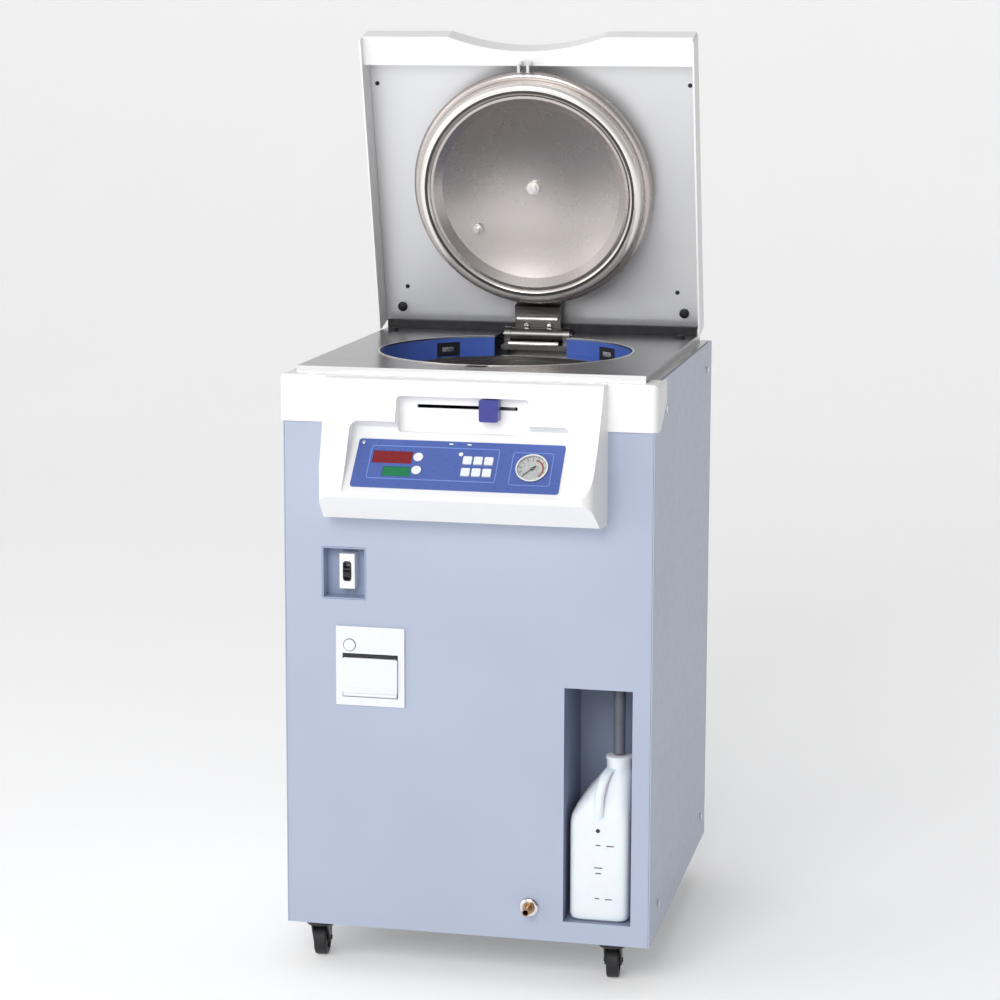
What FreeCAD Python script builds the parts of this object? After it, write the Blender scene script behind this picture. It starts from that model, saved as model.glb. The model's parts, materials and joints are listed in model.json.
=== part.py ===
import FreeCAD, Part
import math
import os

# Vertical top-loading laboratory autoclave on casters, in millimetres.
# +Z is up from the floor, the front faces -Y and the viewer's right is +X.
# Positions are written from the middle of the cabinet; save() moves them to the middle of the outline.

V = FreeCAD.Vector

# Cabinet
HALF_W = 265.0
HALF_D = 280.0
FRONT = -HALF_D
BODY_BOTTOM = 66.0
SIDE_TOP = 865.0
PLATE_TOP = 877.0
PLATE_HALF_W = 249.0
PLATE_FRONT = FRONT + 14.4
SHEET = 1.6
GAP = 0.4

# Chamber and the hole above it
AXIS_Y = -20.0
CHAMBER_R = 150.0
CHAMBER_WALL = 3.0
CHAMBER_TOP = 850.0
CHAMBER_FLOOR = 330.0
HOLE_R = 188.0

# Lid
HINGE_Y = 215.0
HINGE_Z = 874.0
OPEN_DEG = 76.0
COVER_HALF_W = 256.0
COVER_FRONT = -258.0
COVER_TOP = 921.0
SKIRT_BOTTOM = 869.0
PANEL_Z = 912.0
BAND_DEPTH = 44.0
BAND_BOTTOM = 881.0
LID_RING_Z = 852.0

# Console on the front: distances "out" are measured forward of the front panel
CONSOLE_HALF_W = 200.0
CONSOLE_TOP = 867.0
CONSOLE_BOTTOM = 668.0
BAND_LOW = 801.0
BAND_PROUD = 4.0
DESK_TOP = (22.0, 784.0)
DESK_LOW = (86.0, 718.0)

# Lever
SLOT_LEFT = -67.0
SLOT_RIGHT = 75.0
SLOT_Z = 829.0
SLOT_HALF_H = 2.6
KNOB_X = 38.0
LEVER_FLOOR = 12.0
BOLT_Y = -216.0
BOLT_Z = 860.0

# Openings in the front panel: left, right, bottom, top
SWITCH = (-210.0, -145.0, 547.0, 622.5)
PRINTER = (-187.0, -91.0, 396.5, 507.0)
BOTTLE_BAY = (141.0, 238.0, 96.0, 436.0)
BAY_DEPTH = 130.0
DRAIN = (92.4, 114.0)

# Casters
WHEEL_R = 25.0
WHEEL_HALF_W = 9.0
CASTER_X = 228.0
CASTER_RIGHT_X = 206.0
CASTER_FRONT_Y = -238.0
CASTER_BACK_Y = 238.0
TRAIL = 16.0

# Half the difference between what stands out at the front and at the back
CENTRE_SHIFT = 31.0


def box(x0, x1, y0, y1, z0, z1):
    return Part.makeBox(x1 - x0, y1 - y0, z1 - z0, V(x0, y0, z0))


def rod(radius, start, end):
    along = V(*end).sub(V(*start))
    return Part.makeCylinder(radius, along.Length, V(*start), along)


def tube(outer, inner, start, end):
    return rod(outer, start, end).cut(rod(inner, start, end))


def profile_x(points, x0, x1):
    """Extrude a closed outline of (y, z) points along X."""
    face = Part.Face(Part.makePolygon([V(x0, y, z) for y, z in points + points[:1]]))
    return face.extrude(V(x1 - x0, 0, 0))


def rounded_box(x0, x1, y0, y1, z0, z1, radius, axis):
    """A box with its four edges along one axis rounded."""
    solid = box(x0, x1, y0, y1, z0, z1)
    chosen = []
    for edge in solid.Edges:
        direction = edge.Vertexes[1].Point.sub(edge.Vertexes[0].Point)
        if abs(getattr(direction, axis)) > 1e-6:
            chosen.append(edge)
    return solid.makeFillet(radius, chosen)


def fuse(shapes):
    result = shapes[0].multiFuse(shapes[1:]) if len(shapes) > 1 else shapes[0]
    return result.removeSplitter()


def cut(shape, tools):
    for tool in tools:
        shape = shape.cut(tool)
    return shape


def turned(shape, origin, axis, degrees):
    result = shape.copy()
    result.rotate(V(*origin), V(*axis), degrees)
    return result


def revolve_about_chamber(points):
    """Turn a closed outline of (radius, z) points about the chamber's axis."""
    outline = Part.makePolygon([V(r, AXIS_Y, z) for r, z in points + points[:1]])
    return Part.Face(outline).revolve(V(0, AXIS_Y, 0), V(0, 0, 1), 360)


def save(name, shape):
    moved = shape.copy()
    moved.translate(V(0, CENTRE_SHIFT, 0))
    moved.exportStep(os.path.join("parts", name + ".step"))


def lid_pose(shape):
    """Lid pieces are drawn closed and stored open."""
    return turned(shape, (0, HINGE_Y, HINGE_Z), (1, 0, 0), -OPEN_DEG)


# ---------------------------------------------------------------- cabinet

def base_frame():
    inset = SHEET + GAP
    half_w = HALF_W - inset
    half_d = HALF_D - inset
    tray = box(-half_w, half_w, -half_d, half_d, BODY_BOTTOM, BODY_BOTTOM + 22)
    tray = tray.cut(box(-half_w + 2, half_w - 2, -half_d + 2, half_d - 2, BODY_BOTTOM + 2, BODY_BOTTOM + 30))
    posts = []
    width = 18.0
    for x in (-half_w + 2.5, half_w - 2.5 - width):
        for y in (-half_d + 2.5, half_d - 2.5 - width):
            post = box(x, x + width, y, y + width, BODY_BOTTOM + 2, SIDE_TOP - 6)
            posts.append(post.cut(box(x + 2, x + width - 2, y + 2, y + width - 2, BODY_BOTTOM + 1, SIDE_TOP)))
    return fuse([tray] + posts)


def side_panel(side):
    """Outer sheet with a flange turned in along the top."""
    outer = box(HALF_W - SHEET, HALF_W, -HALF_D, HALF_D, BODY_BOTTOM, SIDE_TOP)
    flange = box(HALF_W - 15.5, HALF_W, -HALF_D, HALF_D, SIDE_TOP - SHEET, SIDE_TOP)
    shape = fuse([outer, flange])
    if side < 0:
        shape = shape.mirror(V(0, 0, 0), V(1, 0, 0))
    return shape


def front_panel():
    edge = HALF_W - SHEET - GAP
    sheet = box(-edge, edge, FRONT, FRONT + SHEET, BODY_BOTTOM, SIDE_TOP - SHEET - GAP)
    tools = [box(left, right, FRONT - 1, FRONT + 3, low, high) for left, right, low, high in
             (SWITCH, PRINTER, BOTTLE_BAY)]
    tools.append(rod(9.0, (DRAIN[0], FRONT - 1, DRAIN[1]), (DRAIN[0], FRONT + 3, DRAIN[1])))
    # The console's electronics and the lever pass through one large opening behind the console.
    tools.append(box(-185, 185, FRONT - 1, FRONT + 3, 690, 845))
    return cut(sheet, tools)


def rear_panel():
    edge = HALF_W - SHEET - GAP
    sheet = box(-edge, edge, HALF_D - SHEET, HALF_D, BODY_BOTTOM, SIDE_TOP - SHEET - GAP)
    tools = []
    for row in range(8):
        z = 600 + row * 18
        tools.append(box(-90, 90, HALF_D - 3, HALF_D + 1, z, z + 5))
    tools.append(rod(10.2, (-180, HALF_D - 3, 150), (-180, HALF_D + 1, 150)))
    return cut(sheet, tools)


def top_plate():
    front = PLATE_FRONT
    plate = box(-PLATE_HALF_W, PLATE_HALF_W, front, HALF_D - 20, PLATE_TOP - 15, PLATE_TOP)
    inside = box(-PLATE_HALF_W + 2, PLATE_HALF_W - 2, front + 2, HALF_D - 22, PLATE_TOP - 16, PLATE_TOP - 2)
    hole = rod(HOLE_R, (0, AXIS_Y, PLATE_TOP - 20), (0, AXIS_Y, PLATE_TOP + 1))
    catch_notch = box(-15, 15, BOLT_Y - 9, -195, PLATE_TOP - 20, PLATE_TOP + 1)
    hinge_bay = box(BRACKET_X[0] - 5, BRACKET_X[1] + 5, 140, HINGE_Y + 24, PLATE_TOP - 20, PLATE_TOP + 1)
    foot = box(-262, 262, front + 40, HALF_D - 20, SIDE_TOP + GAP, SIDE_TOP + 2)
    foot = foot.cut(box(-230, 230, front + 30, HALF_D, SIDE_TOP, SIDE_TOP + 3))
    foot = foot.cut(box(-PLATE_HALF_W + 1, PLATE_HALF_W - 1, -400, 400, 800, 900))
    return cut(fuse([plate.cut(inside), foot]), [hole, catch_notch, hinge_bay])


# ---------------------------------------------------------------- console

def outline_wire(points):
    return Part.makePolygon([V(0, FRONT - out, z) for out, z in points + points[:1]])


def console_solid():
    """The bulging front, cut from its side outline and its plan outline."""
    face_curve = Part.Arc(V(0, FRONT - 25, CONSOLE_TOP - 4), V(0, FRONT - 47, 796), V(0, FRONT - 86.5, 721))
    crest = Part.Arc(V(0, FRONT - 86.5, 721), V(0, FRONT - 88, 715), V(0, FRONT - 85, 709))
    top_round = Part.Arc(V(0, FRONT - 21, CONSOLE_TOP), V(0, FRONT - 23.6, CONSOLE_TOP - 1.4),
                         V(0, FRONT - 25, CONSOLE_TOP - 4))
    corners = [V(0, FRONT - 85, 709), V(0, FRONT - 38, 672), V(0, FRONT, CONSOLE_BOTTOM),
               V(0, FRONT, CONSOLE_TOP), V(0, FRONT - 21, CONSOLE_TOP)]
    edges = [top_round.toShape(), face_curve.toShape(), crest.toShape(), Part.makePolygon(corners)]
    side = Part.Face(Part.Wire(Part.__sortEdges__([e for s in edges for e in s.Edges])))
    side.translate(V(-CONSOLE_HALF_W, 0, 0))
    body = side.extrude(V(2 * CONSOLE_HALF_W, 0, 0))
    front_w = CONSOLE_HALF_W - 7
    radius = 24.0
    right = [V(CONSOLE_HALF_W, FRONT + 1, 0), V(front_w, FRONT - 89 + radius, 0)]
    bend = Part.Arc(right[1], V(front_w - radius * 0.29, FRONT - 89 + radius * 0.29, 0),
                    V(front_w - radius, FRONT - 89, 0))
    bend_left = Part.Arc(V(-front_w + radius, FRONT - 89, 0),
                         V(-front_w + radius * 0.29, FRONT - 89 + radius * 0.29, 0),
                         V(-front_w, FRONT - 89 + radius, 0))
    edges = [Part.makeLine(right[0], right[1]), bend.toShape(),
             Part.makeLine(V(front_w - radius, FRONT - 89, 0), V(-front_w + radius, FRONT - 89, 0)),
             bend_left.toShape(),
             Part.makeLine(V(-front_w, FRONT - 89 + radius, 0), V(-CONSOLE_HALF_W, FRONT + 1, 0)),
             Part.makeLine(V(-CONSOLE_HALF_W, FRONT + 1, 0), V(CONSOLE_HALF_W, FRONT + 1, 0))]
    plan = Part.Face(Part.Wire(edges))
    plan.translate(V(0, 0, 600))
    return body.common(plan.extrude(V(0, 0, 300)))


def desk_recess():
    """Sloping bay that holds the blue overlay, open to the front, with rounded upper corners."""
    points = [(64, 814), (30, 808), (23.5, 800), DESK_TOP, DESK_LOW, (130, 718), (130, 814)]
    bay = profile_x([(FRONT - out, z) for out, z in points], -157, 157)
    outline = rounded_box(-156, 156, FRONT - 140, FRONT, 690, 811, 14, "y")
    return bay.common(outline)


def lever_pocket():
    """Shallow pocket round the lever slot."""
    return rounded_box(-92, 95, FRONT - 60, FRONT - LEVER_FLOOR, 793, 845, 5, "y")


def band():
    """White band round the top of the cabinet: the console's wings."""
    proud = BAND_PROUD
    outer = rounded_box(-HALF_W - proud, HALF_W + proud, FRONT - proud, FRONT + 200,
                        BAND_LOW, CONSOLE_TOP, 10, "z")
    inner = box(-HALF_W - GAP, HALF_W + GAP, FRONT - GAP, FRONT + 201, BAND_LOW - 1, CONSOLE_TOP + 1)
    ring = outer.cut(inner).common(box(-300, 300, FRONT - 10, FRONT + 76, BAND_LOW - 1, CONSOLE_TOP + 1))
    slope = profile_x([(FRONT + 20, BAND_LOW - 1), (FRONT + 80, BAND_LOW - 1), (FRONT + 80, BAND_LOW + 34)],
                      -300, 300)
    ring = ring.cut(slope)
    cap = box(-HALF_W - 1, HALF_W + 1, FRONT - 1, FRONT + 54, SIDE_TOP + GAP, CONSOLE_TOP)
    cap = cap.cut(box(-PLATE_HALF_W - GAP, PLATE_HALF_W + GAP, PLATE_FRONT - GAP, FRONT + 60, 800, 900))
    foot_room = box(-262 - GAP, 262 + GAP, PLATE_FRONT + 40 - GAP, FRONT + 60, 800, 900)
    ring = fuse([ring, cap.cut(foot_room)])
    # Rounded upper outer corners seen from the front
    radius = 7.0
    for side in (-1, 1):
        corner = box(0, 14, FRONT - 10, FRONT + 100, 0, 14)
        corner = corner.cut(rod(radius, (0, FRONT - 12, 0), (0, FRONT + 102, 0)))
        corner.translate(V(HALF_W + proud - radius, 0, CONSOLE_TOP - radius))
        if side < 0:
            corner = corner.mirror(V(0, 0, 0), V(1, 0, 0))
        ring = ring.cut(corner)
    return ring


def desk_point(across, along, lift):
    """A point over the desk: across is X, along runs down the slope from its top, lift is off its face."""
    run = DESK_LOW[0] - DESK_TOP[0]
    drop = DESK_TOP[1] - DESK_LOW[1]
    length = math.hypot(run, drop)
    out = DESK_TOP[0] + run * along / length + drop * lift / length
    z = DESK_TOP[1] - drop * along / length + run * lift / length
    return V(across, FRONT - out, z)


def on_desk(shape):
    """Place a shape drawn flat (X across, -Y down the slope, Z off the face) on the desk."""
    run = DESK_LOW[0] - DESK_TOP[0]
    drop = DESK_TOP[1] - DESK_LOW[1]
    tilt = math.degrees(math.atan2(drop, run))
    result = turned(shape, (0, 0, 0), (1, 0, 0), tilt)
    result.translate(desk_point(0, 0, 0))
    return result


def flat(x0, x1, down0, down1, z0, z1):
    return box(x0, x1, -down1, -down0, z0, z1)


OVERLAY = (-146.0, 146.0, 3.0, 84.0)
DISPLAY_RED = (-122.0, -66.0, 22.5, 43.0)
DISPLAY_GREEN = (-104.5, -65.0, 48.3, 64.3)
KEY_X = (12.7, 27.7, 42.7)
KEY_DOWN = (34.5, 54.0)
KEY_W = 12.3
KEY_H = 12.7
GAUGE_AT = (104.0, 43.0)
GAUGE_R = 22.5


def front_console():
    shell = fuse([console_solid(), band()])
    hollow = profile_x([(FRONT - out, z) for out, z in
                        [(-5, 856), (7, 856), (7, 792), (14, 784), (75, 721), (75, 710), (36, 677), (-5, 673)]],
                       -CONSOLE_HALF_W + 28, CONSOLE_HALF_W - 28)
    slot = box(SLOT_LEFT, SLOT_RIGHT, FRONT - 20, FRONT + 1, SLOT_Z - SLOT_HALF_H, SLOT_Z + SLOT_HALF_H)
    shell = cut(shell, [desk_recess(), lever_pocket(), hollow, slot])
    holes = [flat(*DISPLAY_RED, -20, 5), flat(*DISPLAY_GREEN, -20, 5)]
    holes += [flat(x - 5, x + 5, down - 5, down + 5, -20, 5) for x in KEY_X for down in KEY_DOWN]
    holes.append(rod(GAUGE_R + 0.5, (GAUGE_AT[0], -GAUGE_AT[1], -40), (GAUGE_AT[0], -GAUGE_AT[1], 5)))
    return cut(shell, [on_desk(h) for h in holes])


def control_overlay():
    sheet = rounded_box(OVERLAY[0], OVERLAY[1], -OVERLAY[3], -OVERLAY[2], 0.3, 1.5, 4, "z")
    holes = [flat(*DISPLAY_RED, -1, 5), flat(*DISPLAY_GREEN, -1, 5)]
    holes += [flat(x - KEY_W / 2 - 0.5, x + KEY_W / 2 + 0.5, down - KEY_H / 2 - 0.5, down + KEY_H / 2 + 0.5, -1, 5)
              for x in KEY_X for down in KEY_DOWN]
    holes.append(rod(GAUGE_R + 0.5, (GAUGE_AT[0], -GAUGE_AT[1], -1), (GAUGE_AT[0], -GAUGE_AT[1], 5)))
    for x, down, r in LAMPS:
        holes.append(rod(r + 0.3, (x, -down, -1), (x, -down, 5)))
    return on_desk(cut(sheet, holes))


LAMPS = ((-57.4, 31.4, 6.8), (-56.6, 53.3, 6.8), (2.0, 24.3, 3.0))


def display(area):
    x0, x1, d0, d1 = area
    return on_desk(flat(x0 + 0.4, x1 - 0.4, d0 + 0.4, d1 - 0.4, -8, 1.2))


def status_lamps():
    return Part.makeCompound([on_desk(rod(r, (x, -down, 0.3), (x, -down, 2.4))) for x, down, r in LAMPS])


def key(x, down):
    cap = rounded_box(x - KEY_W / 2, x + KEY_W / 2, -down - KEY_H / 2, -down + KEY_H / 2, 1.4, 3.4, 1.5, "z")
    stem = box(x - 3, x + 3, -down - 3, -down + 3, -8, 1.6)
    return on_desk(fuse([cap, stem]))


def gauge_case():
    x, down = GAUGE_AT
    case = rod(GAUGE_R, (x, -down, -22), (x, -down, 3.0))
    case = case.cut(rod(GAUGE_R - 2, (x, -down, -1.0), (x, -down, 4.0)))
    pin = rod(1.2, (x, -down, -1.5), (x, -down, 1.4))
    inlet = rod(5, (x, -down, -34), (x, -down, -21))
    return on_desk(fuse([case, pin, inlet]))


def gauge_lens():
    x, down = GAUGE_AT
    return on_desk(rod(GAUGE_R - 2.3, (x, -down, 1.8), (x, -down, 2.7)))


def gauge_needle():
    """Pointer on the gauge's pin, pointing to the lower left as it rests at zero."""
    x, down = GAUGE_AT
    hub = tube(2.6, 1.25, (x, -down, 0.2), (x, -down, 0.9))
    blade = box(x + 2.0, x + 15.5, -down - 0.6, -down + 0.6, 0.2, 0.8)
    tail = box(x - 6.5, x - 2.0, -down - 1.0, -down + 1.0, 0.2, 0.8)
    pointer = fuse([hub, blade, tail])
    return on_desk(turned(pointer, (x, -down, 0), (0, 0, 1), -135))


def lever_knob():
    grip = rounded_box(KNOB_X - 13.5, KNOB_X + 13.5, FRONT - 31, FRONT - LEVER_FLOOR - 1.0,
                       SLOT_Z - 17, SLOT_Z + 14, 3, "y")
    stem = box(KNOB_X - 4, KNOB_X + 4, FRONT - LEVER_FLOOR - 1.2, FRONT + 6, SLOT_Z - 2.1, SLOT_Z + 2.1)
    return fuse([grip, stem])


def lock_bolt():
    """Carrier behind the console and the round bolt that runs through the lid's two prongs."""
    carrier = box(KNOB_X - 12, KNOB_X + 30, FRONT + 6.0, FRONT + 9, SLOT_Z - 10, BOLT_Z + 0.5)
    shelf = box(KNOB_X - 6, KNOB_X + 30, FRONT + 6.0, BOLT_Y + 3, BOLT_Z - 2, BOLT_Z + 0.5)
    bolt = rod(2.5, (KNOB_X - 12, BOLT_Y, BOLT_Z), (KNOB_X + 80, BOLT_Y, BOLT_Z))
    return fuse([carrier, shelf, bolt])


# ---------------------------------------------------------------- front panel fittings

def switch_recess():
    left, right, low, high = (SWITCH[0] + GAP, SWITCH[1] - GAP, SWITCH[2] + GAP, SWITCH[3] - GAP)
    depth = 26.0
    shell = box(left, right, FRONT, FRONT + depth, low, high)
    shell = shell.cut(box(left + 2, right - 2, FRONT - 1, FRONT + depth - 2, low + 2, high - 2))
    flange = box(left - 8, right + 8, FRONT + SHEET + GAP, FRONT + SHEET + GAP + 1.5, low - 8, high + 8)
    flange = flange.cut(box(left + 1, right - 1, FRONT, FRONT + 8, low + 1, high - 1))
    return fuse([shell, flange])


BREAKER_X = -174.0
BREAKER_Z = 587.0


def breaker_body():
    front = FRONT + 4.0
    plate = box(BREAKER_X - 11, BREAKER_X + 11, front, FRONT + 23.6, BREAKER_Z - 25, BREAKER_Z + 25)
    pocket = box(BREAKER_X - 5, BREAKER_X + 5, front - 1, front + 13, BREAKER_Z - 13, BREAKER_Z + 13)
    return plate.cut(pocket)


def breaker_toggle():
    """Rocking handle on a cross shaft inside the breaker."""
    y = FRONT + 10.0
    drum = rod(6.0, (BREAKER_X - 4.6, y, BREAKER_Z), (BREAKER_X + 4.6, y, BREAKER_Z))
    arm = box(BREAKER_X - 4.6, BREAKER_X + 4.6, y - 11.5, y, BREAKER_Z - 4.0, BREAKER_Z + 4.0)
    handle = fuse([drum, arm])
    return turned(handle, (BREAKER_X, y, BREAKER_Z), (1, 0, 0), 22)


PRINTER_FACE = 3.0
DOOR = (-179.0, -99.0, 407.0, 464.0)


def printer_bezel():
    left, right, low, high = PRINTER
    rim = box(left - 2, right + 2, FRONT - PRINTER_FACE, FRONT - 0.3, low - 2, high + 2)
    housing = box(left + 1, right - 1, FRONT - 1, FRONT + 62, low + 1, high - 1)
    shape = fuse([rim, housing])
    bay = box(DOOR[0] - 0.6, DOOR[1] + 0.6, FRONT - 5, FRONT + 56, DOOR[2] - 0.6, DOOR[3] + 6)
    button = rod(8.6, (DOOR[0] + 10, FRONT - 5, 482), (DOOR[0] + 10, FRONT + 10, 482))
    return cut(shape, [bay, button])


def printer_button():
    x = DOOR[0] + 10
    return rod(8.2, (x, FRONT - PRINTER_FACE - 1.4, 482), (x, FRONT + 5, 482))


def printer_door():
    left, right, low, high = DOOR
    panel = rounded_box(left, right, FRONT - PRINTER_FACE - 3.5, FRONT - PRINTER_FACE + 0.5, low + 5, high, 3, "y")
    panel = panel.cut(box(left - 1, right + 1, FRONT - 20, FRONT - PRINTER_FACE - 2.3, low + 4, low + 8))
    barrel = rod(2.6, (left + 1, FRONT - PRINTER_FACE, low + 3.2), (right - 1, FRONT - PRINTER_FACE, low + 3.2))
    web = box(left + 1, right - 1, FRONT - PRINTER_FACE - 2.2, FRONT - PRINTER_FACE + 0.4, low + 3, low + 9)
    return fuse([panel, barrel, web])


def bottle_compartment():
    left, right, low, high = BOTTLE_BAY
    depth = BAY_DEPTH
    outer = box(left - 1.5, right + 1.5, FRONT + SHEET + GAP, FRONT + depth + 1.5, low - 1.5, high + 1.5)
    shell = outer.cut(box(left, right, FRONT - 1, FRONT + depth, low, high))
    tube_hole = rod(9, (BAY_TUBE[0], BAY_TUBE[1], high - 1), (BAY_TUBE[0], BAY_TUBE[1], high + 3))
    return shell.cut(tube_hole)


BAY_TUBE = (211.0, FRONT + 52.0)
BOTTLE_TOP = 330.0


def drain_tube():
    x, y = BAY_TUBE
    return tube(8.5, 6.0, (x, y, BOTTLE_TOP + 3.0), (x, y, 470))


BOTTLE_X = (147.0, 233.0)
BOTTLE_Y = (FRONT + 8.0, FRONT + 122.0)


def bottle():
    """Jerry-style waste bottle: shouldered body, moulded handle at the front left, neck at the right."""
    x0, x1 = BOTTLE_X
    y0, y1 = BOTTLE_Y
    z0 = BOTTLE_BAY[2] + 0.05
    shoulder = 252.0
    body = rounded_box(x0, x1, y0, y1, z0, shoulder, 10, "z")
    points = [(x0 + 0.2, shoulder - 1), (x1 - 0.2, shoulder - 1), (x1 - 0.2, 300), (x1 - 40, 308),
              (x0 + 24, 296), (x0 + 8, 274)]
    face = Part.Face(Part.makePolygon([V(x, y0 + 8, z) for x, z in points + points[:1]]))
    top = face.extrude(V(0, y1 - y0 - 16, 0))
    neck = rod(19, (BAY_TUBE[0], BAY_TUBE[1], 290), (BAY_TUBE[0], BAY_TUBE[1], BOTTLE_TOP))
    solid = fuse([body, top, neck])
    grip = box(x0 + 24, x1 - 42, y0 - 5, y1 + 5, 272, 290)
    cavity = rounded_box(x0 + 2.5, x1 - 2.5, y0 + 2.5, y1 - 2.5, z0 + 2.5, shoulder - 8, 8, "z")
    bore = rod(15, (BAY_TUBE[0], BAY_TUBE[1], shoulder - 20), (BAY_TUBE[0], BAY_TUBE[1], BOTTLE_TOP + 1))
    return cut(solid, [grip, cavity, bore])


def drain_stub():
    x, z = DRAIN
    flange = rod(13, (x, FRONT - 2.5, z), (x, FRONT - 0.3, z))
    spout = rod(5.5, (x, FRONT - 26, z), (x, FRONT - 2, z))
    shank = rod(8.5, (x, FRONT - 1, z), (x, FRONT + 30, z))
    collar = rod(8.0, (x, FRONT - 9, z), (x, FRONT - 2, z))
    return fuse([flange, spout, shank, collar]).cut(rod(3.8, (x, FRONT - 30, z), (x, FRONT + 40, z)))


# ---------------------------------------------------------------- chamber

def chamber_vessel():
    r, wall = CHAMBER_R, CHAMBER_WALL
    rim = r + 16
    points = [(0, CHAMBER_FLOOR - 12), (60, CHAMBER_FLOOR - 11), (110, CHAMBER_FLOOR - 4),
              (r - 4, CHAMBER_FLOOR + 14), (r + wall, CHAMBER_FLOOR + 34), (r + wall, CHAMBER_TOP - 12),
              (rim, CHAMBER_TOP - 12), (rim, CHAMBER_TOP - 2), (rim - 2, CHAMBER_TOP), (r, CHAMBER_TOP),
              (r, CHAMBER_FLOOR + 36), (r - 7, CHAMBER_FLOOR + 18), (110, CHAMBER_FLOOR),
              (60, CHAMBER_FLOOR - 7), (0, CHAMBER_FLOOR - 8)]
    vessel = revolve_about_chamber(points)
    legs = []
    for x in (-120, 120):
        for dy in (-40, 40):
            y = AXIS_Y + dy
            legs.append(rod(8, (x, y, BODY_BOTTOM + 2 + GAP), (x, y, CHAMBER_FLOOR + 4)))
    return fuse([vessel] + [leg.cut(rod(6, (leg.BoundBox.Center.x, leg.BoundBox.Center.y, 60),
                                        (leg.BoundBox.Center.x, leg.BoundBox.Center.y, CHAMBER_FLOOR - 12)))
                            for leg in legs])


def heater():
    """Immersion heater: one loop lying over the chamber floor."""
    z = CHAMBER_FLOOR + 34.0
    ring = Part.makeTorus(96, 5, V(0, AXIS_Y, z), V(0, 0, 1))
    feet = [rod(3, (96 * math.cos(a), AXIS_Y + 96 * math.sin(a), CHAMBER_FLOOR - 0.8),
                (96 * math.cos(a), AXIS_Y + 96 * math.sin(a), z)) for a in
            [math.radians(d) for d in (30, 150, 270)]]
    return fuse([ring] + feet)


WINDOW_DEG = (46.0, 131.0)


def guard_ring():
    """Plastic collar between the top plate and the chamber rim, with two windows."""
    points = [(HOLE_R - 0.5, PLATE_TOP - 2.4), (HOLE_R - 3, PLATE_TOP - 2.4), (HOLE_R - 3, CHAMBER_TOP - 6),
              (CHAMBER_R + 17, CHAMBER_TOP - 6), (CHAMBER_R + 17, CHAMBER_TOP - 9), (HOLE_R - 0.5, CHAMBER_TOP - 9)]
    ring = revolve_about_chamber(points)
    windows = []
    for degrees in WINDOW_DEG:
        window = box(-20, 20, HOLE_R - 8, HOLE_R + 4, CHAMBER_TOP - 2, PLATE_TOP - 8)
        window.translate(V(0, AXIS_Y, 0))
        windows.append(turned(window, (0, AXIS_Y, 0), (0, 0, 1), degrees - 90))
    catch_notch = box(-16, 16, -240, -200, CHAMBER_TOP - 5, PLATE_TOP + 1)
    hinge_bay = box(BRACKET_X[0] - 5, BRACKET_X[1] + 5, 120, 220, CHAMBER_TOP - 10, PLATE_TOP + 1)
    return cut(ring, windows + [catch_notch, hinge_bay])


def interlock_blocks():
    """Two black sensor blocks that look through the collar's windows."""
    blocks = []
    for degrees in WINDOW_DEG:
        block = box(-19, 19, HOLE_R - 3.5, HOLE_R + 22, CHAMBER_TOP - 1, PLATE_TOP - 9)
        block.translate(V(0, AXIS_Y, 0))
        blocks.append(turned(block, (0, AXIS_Y, 0), (0, 0, 1), degrees - 90))
    return Part.makeCompound(blocks)


# ---------------------------------------------------------------- hinge

PIN_R = 5.0
BRACKET_X = (-52.0, 52.0)


def hinge_bracket():
    """Two fixed ears and a foot on the chamber's rear, with the pin through them."""
    under = box(BRACKET_X[0] + 8, BRACKET_X[1] - 8, 118, HINGE_Y + 20, CHAMBER_TOP - 26, CHAMBER_TOP - 14)
    under = under.cut(rod(CHAMBER_R + CHAMBER_WALL + 0.05, (0, AXIS_Y, CHAMBER_TOP - 40), (0, AXIS_Y, CHAMBER_TOP)))
    riser = box(BRACKET_X[0], BRACKET_X[1], HINGE_Y + 8, HINGE_Y + 20, CHAMBER_TOP - 26, CHAMBER_TOP + 11)
    foot = box(BRACKET_X[0], BRACKET_X[1], HINGE_Y - 32, HINGE_Y + 20, CHAMBER_TOP + 3, CHAMBER_TOP + 11)
    ears = []
    for x in (BRACKET_X[0], BRACKET_X[1] - 10):
        ear = box(x, x + 10, HINGE_Y - 12, HINGE_Y + 12, CHAMBER_TOP + 10, HINGE_Z)
        ears.append(fuse([ear, rod(12, (x, HINGE_Y, HINGE_Z), (x + 10, HINGE_Y, HINGE_Z))]))
    pin = rod(PIN_R, (BRACKET_X[0] - 3, HINGE_Y, HINGE_Z), (BRACKET_X[1] + 3, HINGE_Y, HINGE_Z))
    return fuse([under, riser, foot, pin] + ears)


def hinge_strip():
    """Black strip along the back of the top plate."""
    return box(-247, 247, HINGE_Y + 16, HINGE_Y + 31, PLATE_TOP + 0.3, PLATE_TOP + 13)


# ---------------------------------------------------------------- lid, drawn closed

def cover_shell():
    rear = HINGE_Y - 2
    blank = box(-COVER_HALF_W, COVER_HALF_W, COVER_FRONT, rear, SKIRT_BOTTOM - 20, COVER_TOP)
    outer = blank.makeFillet(6, blank.Edges)
    outer = outer.cut(box(-300, 300, COVER_FRONT - 1, rear + 1, SKIRT_BOTTOM - 30, SKIRT_BOTTOM))
    inside = box(-COVER_HALF_W + 2.6, COVER_HALF_W - 2.6, COVER_FRONT - 1, rear + 1, SKIRT_BOTTOM - 1, COVER_TOP - 3)
    front = COVER_FRONT
    band = box(-COVER_HALF_W + 2, COVER_HALF_W - 2, front, front + BAND_DEPTH, BAND_BOTTOM, COVER_TOP - 2)
    return fuse([outer.cut(inside), band]).cut(grip_notch())


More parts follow.
